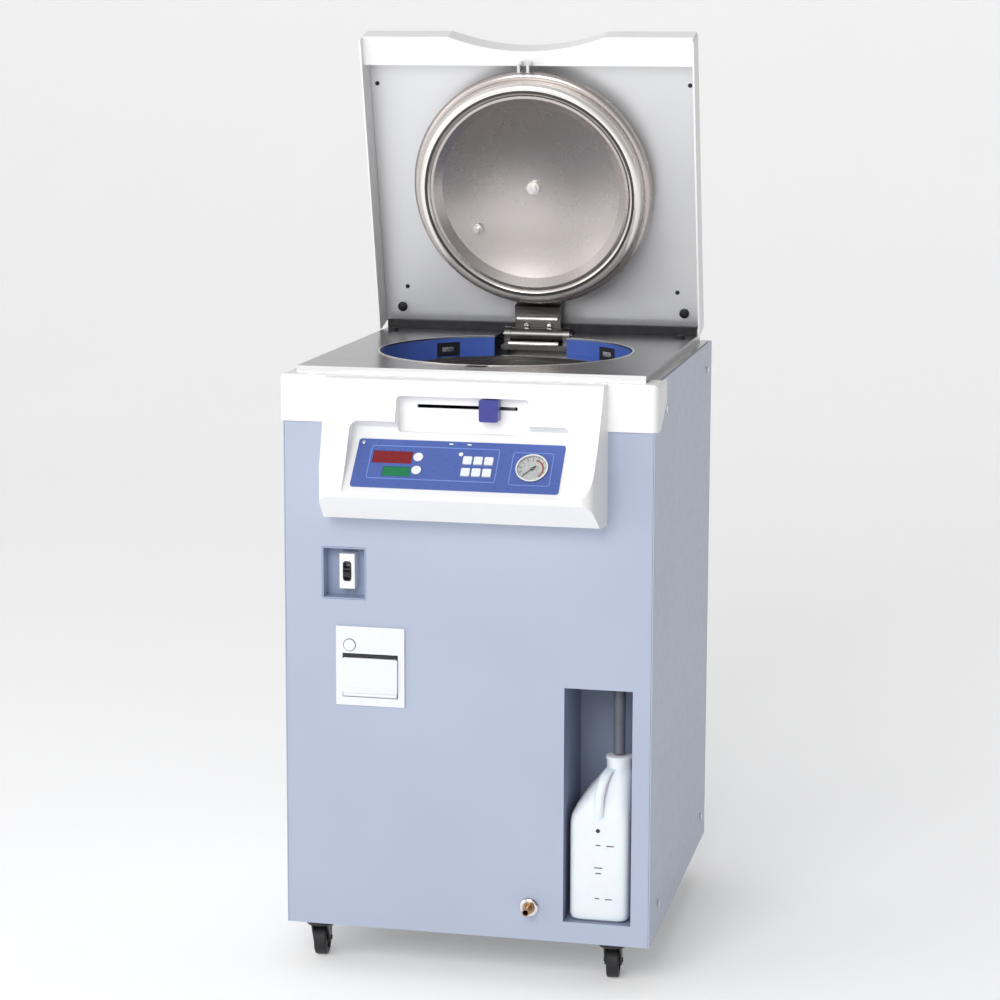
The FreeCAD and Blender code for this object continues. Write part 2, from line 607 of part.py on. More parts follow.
def grip_notch():
    """Curved bite out of the cover's front edge."""
    radius = 340.0
    depth = 22.0
    centre = COVER_FRONT + depth - radius
    return rod(radius, (0, centre, SKIRT_BOTTOM - 5), (0, centre, COVER_TOP + 5))


def cover_inner_panel():
    sheet = box(-COVER_HALF_W + 3.0, COVER_HALF_W - 3.0, COVER_FRONT + BAND_DEPTH + GAP, HINGE_Y - 3,
                PANEL_Z, PANEL_Z + 1.5)
    return sheet


LID_R = 150.0
DISH_R = 138.0
ROLL_R = 173.0
FLANGE_R = 186.0


def lid_point(radius, height):
    return V(radius, AXIS_Y, LID_RING_Z + height)


def revolve_curves(edges):
    """Turn a closed outline made of arcs and lines about the chamber's axis."""
    wire = Part.Wire(Part.__sortEdges__([e for shape in edges for e in shape.Edges]))
    return Part.Face(wire).revolve(V(0, AXIS_Y, 0), V(0, 0, 1), 360)


def cap_arc(edge_radius, edge_height, top_height):
    """Arc from the axis out to an edge, centred on the axis so that it turns into a part of a sphere."""
    rise = top_height - edge_height
    sphere = (edge_radius ** 2 + rise ** 2) / (2 * rise)
    half = 0.5 * edge_radius
    half_height = top_height - sphere + math.sqrt(sphere ** 2 - half ** 2)
    return Part.Arc(lid_point(0, top_height), lid_point(half, half_height),
                    lid_point(edge_radius, edge_height)).toShape()


def pressure_lid():
    """Domed lid: smooth dished plate inside, deep rounded flange outside."""
    p = lid_point
    dish = cap_arc(DISH_R, 13, 38)
    seat = Part.makePolygon([p(DISH_R, 13), p(LID_R, 3), p(LID_R + 4, 3), p(LID_R + 4, 14),
                             p(FLANGE_R - 11, 14), p(FLANGE_R - 11, 21)])
    flange = Part.Arc(p(FLANGE_R - 11, 21), p(FLANGE_R, 30), p(FLANGE_R - 10, 39)).toShape()
    dome = cap_arc(FLANGE_R - 10, 39, 54)
    middle = Part.makePolygon([p(0, 54), p(0, 38)])
    strut = tube(40, 30, (0, AXIS_Y, LID_RING_Z + 50), (0, AXIS_Y, PANEL_Z - GAP))
    return fuse([revolve_curves([dish, seat, flange, dome, middle]), strut])


def lid_ring():
    """Rolled bright ring that carries the seal."""
    p = lid_point
    inner = LID_R + 4.3
    roll = Part.Arc(p(inner, 6.9), p(0.5 * (inner + ROLL_R), 0.4), p(ROLL_R, 6.9)).toShape()
    back = Part.makePolygon([p(ROLL_R, 6.9), p(ROLL_R, 13.6), p(inner, 13.6), p(inner, 6.9)])
    z = LID_RING_Z
    groove = [(159, z - 1), (159, z + 3), (163, z + 3), (163, z - 1)]
    return revolve_curves([roll, back]).cut(revolve_about_chamber(groove))


def lid_gasket():
    z = LID_RING_Z
    return revolve_about_chamber([(159.3, z - 1.0), (159.3, z + 3.0), (162.7, z + 3.0), (162.7, z - 1.0)])


def lid_fittings():
    """Centre nut with its washer, and the small vent off to one side."""
    z = LID_RING_Z
    x, y = -86.0, AXIS_Y + 62.0
    nut = fuse([rod(10, (0, AXIS_Y, z + 33), (0, AXIS_Y, z + 37.6)), rod(6, (0, AXIS_Y, z + 26), (0, AXIS_Y, z + 34))])
    vent = fuse([rod(8, (x, y, z + 16), (x, y, z + 20.8)), rod(4, (x, y, z + 9), (x, y, z + 17))])
    return Part.makeCompound([nut, vent])


def hinge_arm():
    """Arm that carries the lid on the hinge pin."""
    barrel = tube(11, PIN_R + 0.05, (BRACKET_X[0] + 10.4, HINGE_Y, HINGE_Z), (BRACKET_X[1] - 10.4, HINGE_Y, HINGE_Z))
    near = AXIS_Y + FLANGE_R
    arm = box(-36, 36, near + 4, HINGE_Y, HINGE_Z + 4, HINGE_Z + 14)
    riser = box(-36, 36, near + 4, near + 12, HINGE_Z + 4, HINGE_Z + 26)
    saddle = box(-36, 36, near - 24, near + 12, LID_RING_Z + 42.0, HINGE_Z + 26)
    arm = fuse([arm, riser, saddle])
    bore = rod(PIN_R + 0.05, (-60, HINGE_Y, HINGE_Z), (60, HINGE_Y, HINGE_Z))
    return fuse([barrel, arm]).cut(bore)


def catch_prongs():
    """Two eyed prongs under the cover's front edge; the lock bolt runs through their eyes."""
    prongs = []
    for x in (-9.0, 5.0):
        prong = box(x, x + 4, BOLT_Y - 5.5, BOLT_Y + 5.5, BOLT_Z - 6, BAND_BOTTOM - 0.3)
        prong = prong.cut(rod(3.4, (x - 1, BOLT_Y, BOLT_Z), (x + 5, BOLT_Y, BOLT_Z)))
        prongs.append(prong)
    return Part.makeCompound(prongs)


# ---------------------------------------------------------------- inside and behind

def control_board():
    return box(-170, 150, FRONT + 14, FRONT + 16, 700, 812)


def cord_gland():
    x, z = -180.0, 150.0
    body = fuse([rod(14, (x, HALF_D + 0.3, z), (x, HALF_D + 8, z)), rod(11, (x, HALF_D + 8, z), (x, HALF_D + 26, z)),
                 rod(9.8, (x, HALF_D - 12, z), (x, HALF_D + 1, z))])
    nut = rod(13, (x, HALF_D - 8, z), (x, HALF_D - SHEET - 0.3, z))
    return fuse([body, nut]).cut(rod(5, (x, HALF_D - 20, z), (x, HALF_D + 30, z)))


def panel_screws():
    heads = []
    for side in (-1, 1):
        for y, z in ((FRONT + 70, 820.0), (HALF_D - 58, 826.0), (FRONT + 70, 110.0), (HALF_D - 58, 110.0)):
            if z > 815 and y < 0:
                y, z = FRONT + 84, 822.0
            x = side * HALF_W
            heads.append(rod(5.5, (x + side * 0.05, y, z), (x + side * 3.2, y, z)))
    return Part.makeCompound(heads)


# ---------------------------------------------------------------- casters

CASTERS = {
    "front_left": (-CASTER_X, CASTER_FRONT_Y, 185.0),
    "front_right": (CASTER_RIGHT_X, CASTER_FRONT_Y, 185.0),
    "rear_left": (-CASTER_X, CASTER_BACK_Y, 20.0),
    "rear_right": (CASTER_RIGHT_X, CASTER_BACK_Y, 340.0),
}
PLATE_UNDER = 60.0
PEDAL_Y = -18.0
PEDAL_Z = 46.0


def caster_plates():
    plates = []
    for x, y, _ in CASTERS.values():
        plate = rounded_box(x - 28, x + 28, y - 24, y + 24, PLATE_UNDER, BODY_BOTTOM - 0.05, 4, "z")
        plates.append(fuse([plate, rod(5, (x, y, PLATE_UNDER - 3.0), (x, y, PLATE_UNDER + 1))]))
    return Part.makeCompound(plates)


def placed_on_caster(shape, name):
    x, y, heading = CASTERS[name]
    result = turned(shape, (0, 0, 0), (0, 0, 1), heading)
    result.translate(V(x, y, 0))
    return result


def caster_fork(name):
    """Swivel head and two cheeks; drawn with the wheel behind the swivel, along -Y."""
    top = PLATE_UNDER - 0.2
    head = rod(20, (0, 0, top - 7), (0, 0, top)).cut(rod(5.06, (0, 0, top - 8), (0, 0, top + 1)))
    cheeks = []
    for side in (-1, 1):
        x0 = WHEEL_HALF_W + 1.2
        cheek = profile_x([(12, top - 4), (-20, top - 4), (-TRAIL - 8, WHEEL_R - 6), (-TRAIL + 6, WHEEL_R - 6)],
                          x0, x0 + 2.4)
        if "front" in name:
            pivot = rod(2.0, (x0 + 2, PEDAL_Y, PEDAL_Z), (x0 + 5.4, PEDAL_Y, PEDAL_Z))
            cheek = fuse([cheek, pivot])
        if side < 0:
            cheek = cheek.mirror(V(0, 0, 0), V(1, 0, 0))
        cheeks.append(cheek)
    axle = rod(3.5, (-WHEEL_HALF_W - 5, -TRAIL, WHEEL_R), (WHEEL_HALF_W + 5, -TRAIL, WHEEL_R))
    return placed_on_caster(fuse([head, axle] + cheeks), name)


def caster_wheel(name):
    wheel = rod(WHEEL_R, (-WHEEL_HALF_W, -TRAIL, WHEEL_R), (WHEEL_HALF_W, -TRAIL, WHEEL_R))
    wheel = wheel.makeFillet(2.5, [e for e in wheel.Edges if len(e.Vertexes) == 1])
    wheel = wheel.cut(rod(3.55, (-20, -TRAIL, WHEEL_R), (20, -TRAIL, WHEEL_R)))
    for side in (-1, 1):
        x0 = side * (WHEEL_HALF_W - 2)
        dish = rod(16, (x0, -TRAIL, WHEEL_R), (x0 + side * 5, -TRAIL, WHEEL_R))
        dish = dish.cut(rod(6, (x0 - side, -TRAIL, WHEEL_R), (x0 + side * 6, -TRAIL, WHEEL_R)))
        wheel = wheel.cut(dish)
    return placed_on_caster(wheel, name)


def caster_brake(name):
    """Pressed pedal over the wheel, hung on two ears outside the fork."""
    y, z = -TRAIL - 11.0, PEDAL_Z
    x0 = WHEEL_HALF_W + 4.2
    pad = box(-x0 - 2, x0 + 2, y - 30, y - 8, z + 4, z + 6)
    ears = []
    for side in (-1, 1):
        ear = box(x0, x0 + 2, y - 12, PEDAL_Y, z - 4, z + 5)
        ear = fuse([ear, rod(4.5, (x0, PEDAL_Y, z), (x0 + 2, PEDAL_Y, z))])
        ear = ear.cut(rod(2.05, (x0 - 1, PEDAL_Y, z), (x0 + 3, PEDAL_Y, z)))
        if side < 0:
            ear = ear.mirror(V(0, 0, 0), V(1, 0, 0))
        ears.append(ear)
    bridge = box(-x0 - 2, x0 + 2, y - 12, y - 8, z + 1, z + 6)
    return placed_on_caster(fuse([pad, bridge] + ears), name)


def main():
    os.makedirs("parts", exist_ok=True)
    save("base_frame", base_frame())
    save("side_panel_left", side_panel(-1))
    save("side_panel_right", side_panel(1))
    save("front_panel", front_panel())
    save("rear_panel", rear_panel())
    save("top_plate", top_plate())
    save("front_console", front_console())
    save("control_overlay", control_overlay())
    save("temp_display", display(DISPLAY_RED))
    save("time_display", display(DISPLAY_GREEN))
    save("status_lamps", status_lamps())
    save("gauge_case", gauge_case())
    save("gauge_lens", gauge_lens())
    save("gauge_needle", gauge_needle())
    number = 0
    for down in KEY_DOWN:
        for x in KEY_X:
            number += 1
            save("key_%d" % number, key(x, down))
    save("lever_knob", lever_knob())
    save("lock_bolt", lock_bolt())
    save("switch_recess", switch_recess())
    save("breaker_body", breaker_body())
    save("breaker_toggle", breaker_toggle())
    save("printer_bezel", printer_bezel())
    save("printer_button", printer_button())
    save("printer_door", printer_door())
    save("bottle_compartment", bottle_compartment())
    save("drain_tube", drain_tube())
    save("bottle", bottle())
    save("drain_stub", drain_stub())
    save("chamber_vessel", chamber_vessel())
    save("heater", heater())
    save("guard_ring", guard_ring())
    save("interlock_blocks", interlock_blocks())
    save("hinge_bracket", hinge_bracket())
    save("hinge_strip", hinge_strip())
    save("control_board", control_board())
    save("cord_gland", cord_gland())
    save("panel_screws", panel_screws())
    save("cover_shell", lid_pose(cover_shell()))
    save("cover_inner_panel", lid_pose(cover_inner_panel()))
    save("pressure_lid", lid_pose(pressure_lid()))
    save("lid_ring", lid_pose(lid_ring()))
    save("lid_gasket", lid_pose(lid_gasket()))
    save("lid_fittings", lid_pose(lid_fittings()))
    save("hinge_arm", lid_pose(hinge_arm()))
    save("catch_prongs", lid_pose(catch_prongs()))
    save("caster_plates", caster_plates())
    for name in CASTERS:
        save("fork_" + name, caster_fork(name))
        save("wheel_" + name, caster_wheel(name))
    for name in ("front_left", "front_right"):
        save("brake_" + name, caster_brake(name))


main()
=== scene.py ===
import json
import math

import bmesh
import bpy
from mathutils import Matrix, Vector


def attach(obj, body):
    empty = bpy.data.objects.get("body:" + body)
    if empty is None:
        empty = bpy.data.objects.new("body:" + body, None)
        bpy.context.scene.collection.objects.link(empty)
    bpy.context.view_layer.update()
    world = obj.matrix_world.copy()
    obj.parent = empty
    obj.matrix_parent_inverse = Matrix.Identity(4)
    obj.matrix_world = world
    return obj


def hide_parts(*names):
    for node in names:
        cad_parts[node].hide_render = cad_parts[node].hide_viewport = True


# Looks for the vertical autoclave. Metres throughout, in the CAD's own frame:
# +Z up from the floor, the front faces -Y and the viewer's right is +X.

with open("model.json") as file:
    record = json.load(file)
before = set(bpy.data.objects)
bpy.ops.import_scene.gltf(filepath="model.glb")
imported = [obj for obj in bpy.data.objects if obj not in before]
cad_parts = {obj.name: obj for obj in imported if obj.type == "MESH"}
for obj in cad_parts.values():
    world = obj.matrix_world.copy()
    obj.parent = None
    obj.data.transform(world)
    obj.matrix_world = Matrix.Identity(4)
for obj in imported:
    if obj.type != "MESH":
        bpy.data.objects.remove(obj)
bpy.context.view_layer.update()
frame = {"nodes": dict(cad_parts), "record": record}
BODY = "cabinet"


# ---------------------------------------------------------------- materials

def map_range(tree, source, start, stop, low, high):
    """Map a socket's values from start..stop to low..high, held at the ends."""
    node = tree.nodes.new("ShaderNodeMapRange")
    node.inputs["From Min"].default_value = start
    node.inputs["From Max"].default_value = stop
    node.inputs["To Min"].default_value = low
    node.inputs["To Max"].default_value = high
    tree.links.new(source, node.inputs["Value"])
    return node.outputs["Result"]


class Shader:
    """A principled material and short calls that add nodes to it."""

    def __init__(self, name, colour, rough, metal=0.0):
        self.material = bpy.data.materials.new(name)
        self.material.use_nodes = True
        self.tree = self.material.node_tree
        self.bsdf = self.tree.nodes["Principled BSDF"]
        self.bsdf.inputs["Base Color"].default_value = (*colour, 1)
        self.bsdf.inputs["Roughness"].default_value = rough
        self.bsdf.inputs["Metallic"].default_value = metal
        self.colour = colour
        self.place = self.tree.nodes.new("ShaderNodeTexCoord").outputs["Object"]

    def set(self, socket, value):
        self.bsdf.inputs[socket].default_value = value

    def noise(self, per_metre, detail=3.0, stretch=None):
        node = self.tree.nodes.new("ShaderNodeTexNoise")
        node.inputs["Scale"].default_value = per_metre
        node.inputs["Detail"].default_value = detail
        place = self.place
        if stretch:
            mapping = self.tree.nodes.new("ShaderNodeMapping")
            mapping.inputs["Scale"].default_value = stretch
            self.tree.links.new(place, mapping.inputs["Vector"])
            place = mapping.outputs["Vector"]
        self.tree.links.new(place, node.inputs["Vector"])
        return node.outputs["Fac"]

    def ramp(self, source, low, high, start=0.3, stop=0.7):
        return map_range(self.tree, source, start, stop, low, high)

    def blend(self, factor, first, second):
        """Drive the base colour from one colour to another."""
        mix = self.tree.nodes.new("ShaderNodeMix")
        mix.data_type = "RGBA"
        mix.inputs["A"].default_value = (*first, 1)
        mix.inputs["B"].default_value = (*second, 1)
        self.tree.links.new(factor, mix.inputs["Factor"])
        self.tree.links.new(mix.outputs["Result"], self.bsdf.inputs["Base Color"])

    def tint(self, source, amount):
        """Vary the base colour a little, lighter and darker, with a noise."""
        darker = [c * (1 - amount) for c in self.colour]
        lighter = [min(1, c * (1 + amount)) for c in self.colour]
        self.blend(self.ramp(source, 0, 1), darker, lighter)

    def rough(self, source, low, high):
        self.tree.links.new(self.ramp(source, low, high), self.bsdf.inputs["Roughness"])

    def bump(self, source, depth, strength=0.5):
        node = self.tree.nodes.new("ShaderNodeBump")
        node.inputs["Distance"].default_value = depth
        node.inputs["Strength"].default_value = strength
        self.tree.links.new(source, node.inputs["Height"])
        self.tree.links.new(node.outputs["Normal"], self.bsdf.inputs["Normal"])


def enamel(name, colour, rough=0.38):
    """Baked enamel on sheet metal: orange peel, faint cloudiness."""
    s = Shader(name, colour, rough)
    s.tint(s.noise(5.0, 2), 0.025)
    s.rough(s.noise(60, 3), rough - 0.04, rough + 0.06)
    s.bump(s.noise(420, 2), 0.00006, 0.35)
    s.set("Coat Weight", 0.15)
    s.set("Coat Roughness", 0.25)
    return s.material


def moulding(name, colour, rough=0.42, grain=1400):
    """Moulded plastic with a fine spark texture."""
    s = Shader(name, colour, rough)
    s.tint(s.noise(9, 2), 0.015)
    s.rough(s.noise(180, 3), rough - 0.05, rough + 0.07)
    s.bump(s.noise(grain, 2), 0.00004, 0.3)
    s.set("Subsurface Weight", 0.04)
    s.set("Subsurface Scale", 0.004)
    return s.material


def gloss(name, colour, rough=0.18):
    """Printed film or lacquered plastic."""
    s = Shader(name, colour, rough)
    s.tint(s.noise(30, 2), 0.03)
    s.rough(s.noise(120, 3), rough - 0.04, rough + 0.06)
    s.set("Coat Weight", 0.3)
    s.set("Coat Roughness", 0.08)
    return s.material


def steel(name, colour, rough, stretch=(6, 400, 400), grain=0.00002):
    """Rolled or brushed steel with its grain along one axis."""
    s = Shader(name, colour, rough, 1.0)
    streaks = s.noise(2.2, 4, stretch)
    s.tint(streaks, 0.05)
    s.rough(streaks, max(0.03, rough - 0.05), rough + 0.07)
    s.bump(streaks, grain, 0.3)
    return s.material


def satin_sheet(name, colour, rough, metal=0.75):
    """Pressed stainless with a soft, even sheen and very fine scratches."""
    s = Shader(name, colour, rough, metal)
    s.tint(s.noise(7.0, 2), 0.02)
    s.rough(s.noise(30, 3), rough - 0.004, rough + 0.008)
    s.bump(s.noise(700, 2), 0.000002, 0.1)
    return s.material


def plate_metal_painted_light(name, top, lip):
    """Folded top plate with painted light: a dark painted reflection where it lies flat, a bright
    painted highlight on the faces that look forward.
    """
    s = Shader(name, top, 0.2, 0.75)
    normal = s.tree.nodes.new("ShaderNodeSeparateXYZ")
    s.tree.links.new(s.tree.nodes.new("ShaderNodeTexCoord").outputs["Normal"], normal.inputs[0])
    # 1 where the face looks forward (-Y) and gets the painted highlight, 0 where it looks up and gets
    # the painted dark reflection
    painted_light_facing = s.ramp(normal.outputs["Y"], 1.0, 0.0, start=-0.9, stop=-0.6)
    # the top colour is a painted dark reflection of the surroundings, the second colour a painted
    # highlight on the forward faces
    s.blend(painted_light_facing, top, lip)
    streaks = s.noise(2.2, 4, (6, 300, 300))
    s.rough(streaks, 0.17, 0.25)
    s.bump(streaks, 0.000008, 0.2)
    return s.material


def rubber(name, colour, rough=0.62):
    """Matt rubber with a dusty surface."""
    s = Shader(name, colour, rough)
    s.tint(s.noise(40, 3), 0.12)
    s.rough(s.noise(90, 3), rough - 0.08, rough + 0.1)
    s.bump(s.noise(900, 3), 0.00008, 0.4)
    return s.material


def clear(name, colour):
    """Gauge glass."""
    s = Shader(name, colour, 0.03)
    s.set("Transmission Weight", 1.0)
    s.set("IOR", 1.45)
    s.rough(s.noise(40, 2), 0.02, 0.05)
    return s.material


def polythene(name, colour):
    """Milky bottle wall."""
    s = Shader(name, colour, 0.4)
    s.tint(s.noise(14, 3), 0.03)
    s.rough(s.noise(70, 3), 0.34, 0.48)
    s.bump(s.noise(160, 3), 0.00025, 0.3)
    s.set("Subsurface Weight", 0.35)
    s.set("Subsurface Scale", 0.02)
    s.set("Transmission Weight", 0.08)
    return s.material


CABINET = (0.395, 0.445, 0.565)

MATERIALS = {
    "cabinet_paint": enamel("cabinet_paint", CABINET),
    "frame_steel": enamel("frame_steel", (0.16, 0.17, 0.19), 0.5),
    "white_moulding": moulding("white_moulding", (0.90, 0.90, 0.90)),
    "overlay_film": gloss("overlay_film", (0.072, 0.125, 0.41), 0.3),
    "display_red": gloss("display_red", (0.22, 0.003, 0.006), 0.22),
    "display_green": gloss("display_green", (0.0, 0.19, 0.065), 0.22),
    "lamp_white": gloss("lamp_white", (0.86, 0.88, 0.92), 0.25),
    "key_white": moulding("key_white", (0.84, 0.87, 0.92), 0.35),
    "gauge_steel": steel("gauge_steel", (0.62, 0.62, 0.63), 0.25),
    "gauge_glass": clear("gauge_glass", (0.98, 0.99, 1.0)),
    "needle_black": enamel("needle_black", (0.015, 0.015, 0.018), 0.4),
    "knob_navy": gloss("knob_navy", (0.034, 0.040, 0.26), 0.3),
    "bolt_steel": steel("bolt_steel", (0.66, 0.66, 0.66), 0.25),
    # plate_steel: the dark top colour is a painted reflection of dark surroundings, the near-white
    # colour on forward faces a painted highlight
    "plate_steel": plate_metal_painted_light("plate_steel", (0.21, 0.21, 0.215), (0.93, 0.93, 0.94)),
    "chamber_steel": steel("chamber_steel", (0.60, 0.57, 0.55), 0.22, (6, 6, 300)),
    "lid_steel": satin_sheet("lid_steel", (0.54, 0.495, 0.475), 0.27, 0.78),
    "ring_bright": satin_sheet("ring_bright", (0.86, 0.82, 0.785), 0.2, 0.6),
    "gasket_rubber": rubber("gasket_rubber", (0.05, 0.045, 0.04)),
    "collar_blue": gloss("collar_blue", (0.06, 0.13, 0.48), 0.35),
    "block_black": moulding("block_black", (0.012, 0.012, 0.014), 0.45),
    # strip_black: near-black strip along the hinge line, partly painted shade of the gap there; the
    # bumpers use it as black rubber
    "strip_black": rubber("strip_black", (0.008, 0.008, 0.011)),
    "hinge_steel": steel("hinge_steel", (0.18, 0.175, 0.17), 0.3),
    "panel_steel": satin_sheet("panel_steel", (0.73, 0.735, 0.75), 0.42),
    "breaker_white": moulding("breaker_white", (0.80, 0.81, 0.83), 0.4),
    "toggle_black": moulding("toggle_black", (0.012, 0.012, 0.014), 0.35),
    "recess_grey": moulding("recess_grey", (0.30, 0.36, 0.49), 0.5),
    "printer_white": moulding("printer_white", (0.76, 0.78, 0.82), 0.4),
    "bottle_white": polythene("bottle_white", (0.86, 0.90, 0.95)),
    "hose_grey": rubber("hose_grey", (0.12, 0.125, 0.15), 0.45),
    "drain_brass": steel("drain_brass", (0.42, 0.26, 0.13), 0.25),
    "bay_grey": enamel("bay_grey", (0.26, 0.31, 0.43), 0.5),
    "heater_steel": steel("heater_steel", (0.35, 0.33, 0.31), 0.35),
    "board_green": moulding("board_green", (0.01, 0.09, 0.04), 0.5),
    "gland_black": moulding("gland_black", (0.012, 0.012, 0.014), 0.45),
    "screw_chrome": steel("screw_chrome", (0.75, 0.75, 0.78), 0.12, (80, 80, 80)),
    "caster_black": enamel("caster_black", (0.012, 0.012, 0.015), 0.35),
    "caster_zinc": steel("caster_zinc", (0.50, 0.50, 0.52), 0.3),
    "tread_black": rubber("tread_black", (0.010, 0.010, 0.012), 0.55),
}


def dress_frame():
    """Give every CAD node the finish of its slot."""
    for part in frame["record"]["subparts"]:
        node = frame["nodes"][part["node"]]
        for slot in node.material_slots:
            slot.material = MATERIALS[part["material_slot"]]


dress_frame()


# ---------------------------------------------------------------- shapes

MM = 0.001
RING_STEPS = 96
SPLIT_DEG = 40
AXIS_R = 0.01  # radius that closes a turned profile at its axis


def circle(radius, steps=RING_STEPS):
    """Points round a circle."""
    turn = [2 * math.pi * i / steps for i in range(steps)]
    return [(radius * math.cos(a), radius * math.sin(a)) for a in turn]


def plan(x, y, z):
    """The model's own axes, for shapes that lie flat."""
    return (x, y, z)


def piece_from(name, mesh, slot, body, finish=None, smooth=True):
    """Link a mesh as a detail piece that rides on a body."""
    skin = bmesh.new()
    skin.from_mesh(mesh)
    bmesh.ops.recalc_face_normals(skin, faces=skin.faces)
    skin.to_mesh(mesh)
    skin.free()
    for face in mesh.polygons:
        face.use_smooth = smooth
    mesh.materials.append(finish or MATERIALS[slot])
    piece = bpy.data.objects.new(name, mesh)
    bpy.context.collection.objects.link(piece)
    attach(piece, body)
    if smooth:
        edges = piece.modifiers.new("edges", "EDGE_SPLIT")
        edges.split_angle = math.radians(SPLIT_DEG)
    return piece


def loft(name, rings, closed_ends=True):
    """A skin over rings of points; every ring has the same number of points."""
    count = len(rings[0])
    verts = [tuple(c * MM for c in p) for ring in rings for p in ring]
    faces = []
    for row in range(len(rings) - 1):
        low, high = row * count, (row + 1) * count
        for i in range(count):
            j = (i + 1) % count
            faces.append((low + i, low + j, high + j, high + i))
    if closed_ends:
        faces.append(tuple(reversed(range(count))))
        faces.append(tuple((len(rings) - 1) * count + i for i in range(count)))
    mesh = bpy.data.meshes.new(name)
    mesh.from_pydata(verts, [], faces)
    return mesh


def lathe(name, profile, place, closed_ends=True):
    """Turn (radius, height) points; place maps a local point to the model, in millimetres."""
    rings = [[place(x, y, height) for x, y in circle(radius)] for radius, height in profile]
    return loft(name, rings, closed_ends)


def washer(name, inner, outer, low, high, place, start=0.0, stop=360.0):
    """Flat ring, or a sector of one, with square edges."""
    whole = stop - start >= 360
    rings = []
    for i in range(RING_STEPS if whole else RING_STEPS + 1):
        a = math.radians(start + (stop - start) * i / RING_STEPS)
        corners = ((inner, low), (outer, low), (outer, high), (inner, high))
        rings.append([place(r * math.cos(a), r * math.sin(a), h) for r, h in corners])
    if whole:
        rings.append(rings[0])
    return loft(name, rings, closed_ends=not whole)


def rounded_outline(x0, x1, y0, y1, radius):
    """A rectangle with its corners drawn as quarter circles, anticlockwise."""
    points = []
    for cx, cy, start in ((x1 - radius, y1 - radius, 0), (x0 + radius, y1 - radius, 90),
                          (x0 + radius, y0 + radius, 180), (x1 - radius, y0 + radius, 270)):
        for step in range(7):
            a = math.radians(start + 15 * step)
            points.append((cx + radius * math.cos(a), cy + radius * math.sin(a)))
    return points


def slab(name, x0, x1, y0, y1, radius, low, high, place):
    """Rounded plate with a small chamfer round its face."""
    edge = min(0.25 * (high - low), 0.4)
    wide = rounded_outline(x0, x1, y0, y1, radius)
    narrow = rounded_outline(x0 + edge, x1 - edge, y0 + edge, y1 - edge, radius)
    levels = ((wide, low), (wide, high - edge), (narrow, high))
    rings = [[place(x, y, height) for x, y in outline] for outline, height in levels]
    return loft(name, rings)


def frame_line(name, x0, x1, y0, y1, width, low, high, place):
    """Rounded rectangular line of a given width."""
    radius = 4.0
    outer = rounded_outline(x0, x1, y0, y1, radius)
    inner = rounded_outline(x0 + width, x1 - width, y0 + width, y1 - width, radius - width)
    rings = []
    for out, inn in zip(outer, inner):
        corners = ((*out, low), (*out, high), (*inn, high), (*inn, low))
        rings.append([place(*corner) for corner in corners])
    rings.append(rings[0])
    return loft(name, rings, closed_ends=False)


# ---------------------------------------------------------------- places

# Each of these turns local millimetres into the model's millimetres.
FRONT_Y = -249.0  # face of the front panel
# The desk slopes down and forward from its top edge: how far that edge stands out, and its height.
DESK_START = (22.0, 784.0)
DESK_RUN = 64.0
DESK_DROP = 66.0
DESK_LENGTH = math.hypot(DESK_RUN, DESK_DROP)


def on_desk(x, y, lift):
    """x across, y up the slope (0 at its top edge), lift square off it."""
    out = DESK_START[0] + (-y * DESK_RUN + lift * DESK_DROP) / DESK_LENGTH
    z = DESK_START[1] + (y * DESK_DROP + lift * DESK_RUN) / DESK_LENGTH
    return (x, FRONT_Y - out, z)


def on_front(x, y, lift):
    """x across, y up, lift forward of the front panel."""
    return (x, FRONT_Y - lift, y)


LID_OPEN = math.radians(76.0)
HINGE = (246.0, 874.0)  # y and height of the lid's hinge line


def on_lid(x, forward, height):
    """A point of the closed lid, forward of and above the hinge, where it is with the lid open."""
    y = HINGE[0] - forward * math.cos(LID_OPEN) + height * math.sin(LID_OPEN)
    z = HINGE[1] + forward * math.sin(LID_OPEN) + height * math.cos(LID_OPEN)
    return (x, y, z)


def shifted(place, x, y, height=0.0, side=1):
    """The same place about another origin; side -1 stands the shape on the other face."""
    return lambda a, b, c: place(a + x, b + y, height + side * c)


# ---------------------------------------------------------------- details

BORDER = gloss("border_blue", (0.19, 0.30, 0.72), 0.35)
DIAL = moulding("dial_white", (0.86, 0.85, 0.82), 0.4)
INK = moulding("ink_black", (0.02, 0.02, 0.025), 0.5)
RED_INK = moulding("ink_red", (0.55, 0.08, 0.06), 0.5)

OVERLAY_TOP = 1.5  # face of the printed overlay over the desk
PRINT_TOP = 1.75  # face of the print on it
PLATE_TOP = 877.0


def overlay_graphics():
    """Printed frames round the two halves of the overlay."""
    frames = (("overlay_frame_left", -126, 56, -69.4, -13.5, 1.3),
              ("overlay_frame_right", 74.6, 132, -72, -17, 1.1))
    for name, x0, x1, y0, y1, width in frames:
        mesh = frame_line(name, x0, x1, y0, y1, width, OVERLAY_TOP, PRINT_TOP, on_desk)
        piece_from(name, mesh, "overlay_film", BODY, BORDER, smooth=False)
    for number, x in enumerate((-14.4, 11.2)):
        name = "overlay_mark_%d" % number
        mark = slab(name, x - 3, x + 3, -8.6, -6.4, 1.0, OVERLAY_TOP, PRINT_TOP, on_desk)
        piece_from(name, mark, "key_white", BODY)
    head = [(AXIS_R, OVERLAY_TOP), (2.4, OVERLAY_TOP), (2.4, 2.0), (1.8, 2.5), (AXIS_R, 2.6)]
    screw = lathe("overlay_screw", head, shifted(on_desk, -139, -9.5))
    piece_from("overlay_screw", screw, "screw_chrome", BODY)


